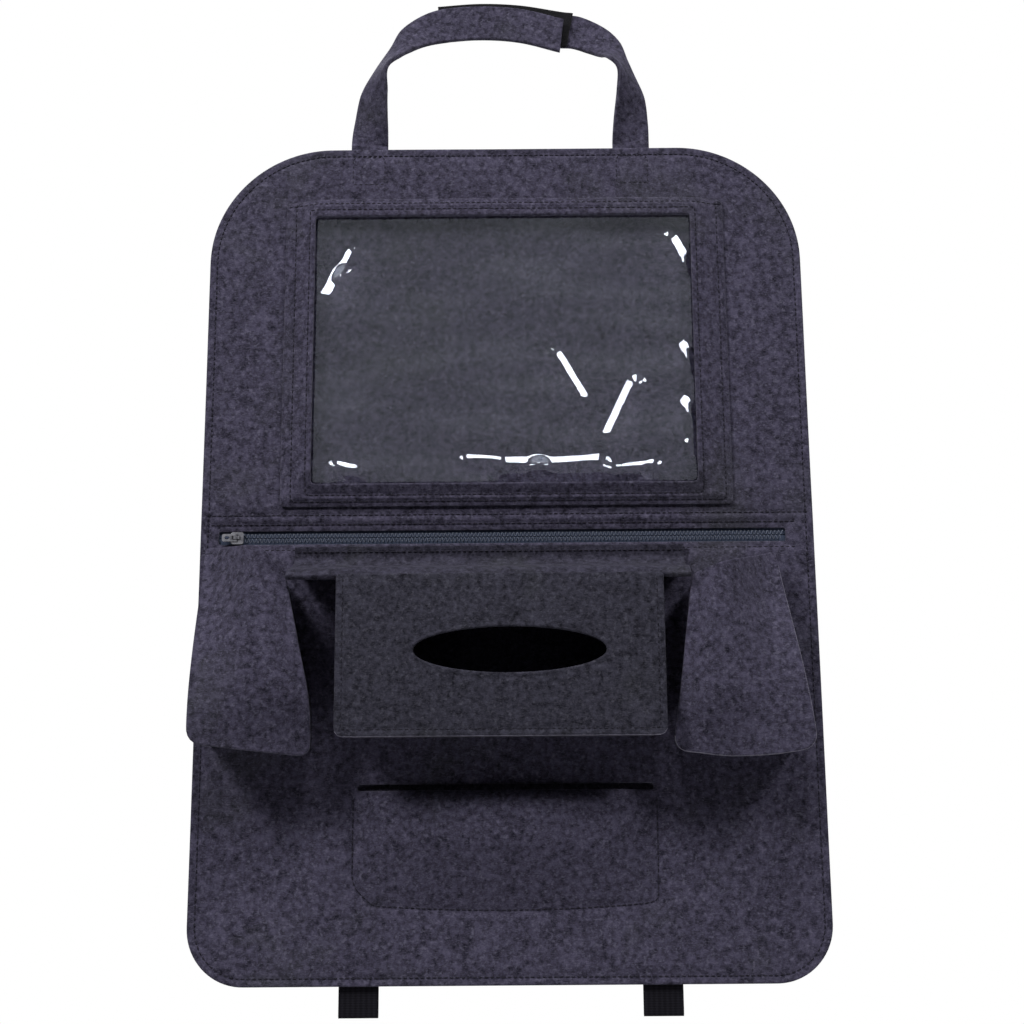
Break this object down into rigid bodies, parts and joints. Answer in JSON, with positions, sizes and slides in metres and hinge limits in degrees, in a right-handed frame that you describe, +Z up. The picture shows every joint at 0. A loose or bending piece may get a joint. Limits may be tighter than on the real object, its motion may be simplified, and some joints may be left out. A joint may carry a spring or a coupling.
{
  "type": "car seat back organizer",
  "caption": "Felt organizer that hangs behind a car seat from a headrest loop, with a clear tablet window, a zip pocket, side pockets, a tissue pocket and a slot pocket.",
  "frame": {"origin": "On the flat back that lies against the seat, half way along the main panel's height and width", "axes": "+X to the right as seen from the front, +Z up, pockets face -Y, seat side +Y"},
  "size_m": [0.404, 0.0556, 0.6905],
  "materials": {
    "felt": "matte needled felt, dark grey melange",
    "clear_film": "clear soft film",
    "zip_tape": "woven tape",
    "zip_nylon": "nylon coil",
    "zip_metal": "plated",
    "grip_tape": "hook and loop pile",
    "webbing": "woven webbing"
  },
  "bodies": {
    "organizer": {"main_panel": "felt", "rear_panel": "felt", "headrest_strap_left": "felt", "headrest_strap_right": "felt", "window_frame": "felt", "left_pocket_front": "felt", "left_pocket_gusset": "felt", "right_pocket_front": "felt", "right_pocket_gusset": "felt", "tissue_pocket_front": "felt", "tissue_pocket_gusset": "felt", "tissue_pocket_top": "felt", "window_film": "clear_film", "zip_tape_upper": "zip_tape", "zip_tape_lower": "zip_tape", "zip_coil_upper": "zip_nylon", "zip_coil_lower": "zip_nylon", "hook_tape": "grip_tape", "loop_tape": "grip_tape", "webbing_left": "webbing", "webbing_right": "webbing"},
    "slider": {"zip_slider": "zip_metal"},
    "pull": {"zip_pull": "zip_metal"}
  },
  "joints": [
    {"name": "zip_slide", "type": "slide", "parent": "organizer", "child": "slider", "axis": [1, 0, 0], "range_m": [0, 0.355], "deforming": ["zip_tape_upper", "zip_tape_lower", "zip_coil_upper", "zip_coil_lower"]},
    {"name": "pull_hinge", "type": "hinge", "parent": "slider", "child": "pull", "pos_m": [-0.1781, -0.00685, 0.00465], "axis": [0, 0, 1], "range_deg": [0, 175]}
  ]
}
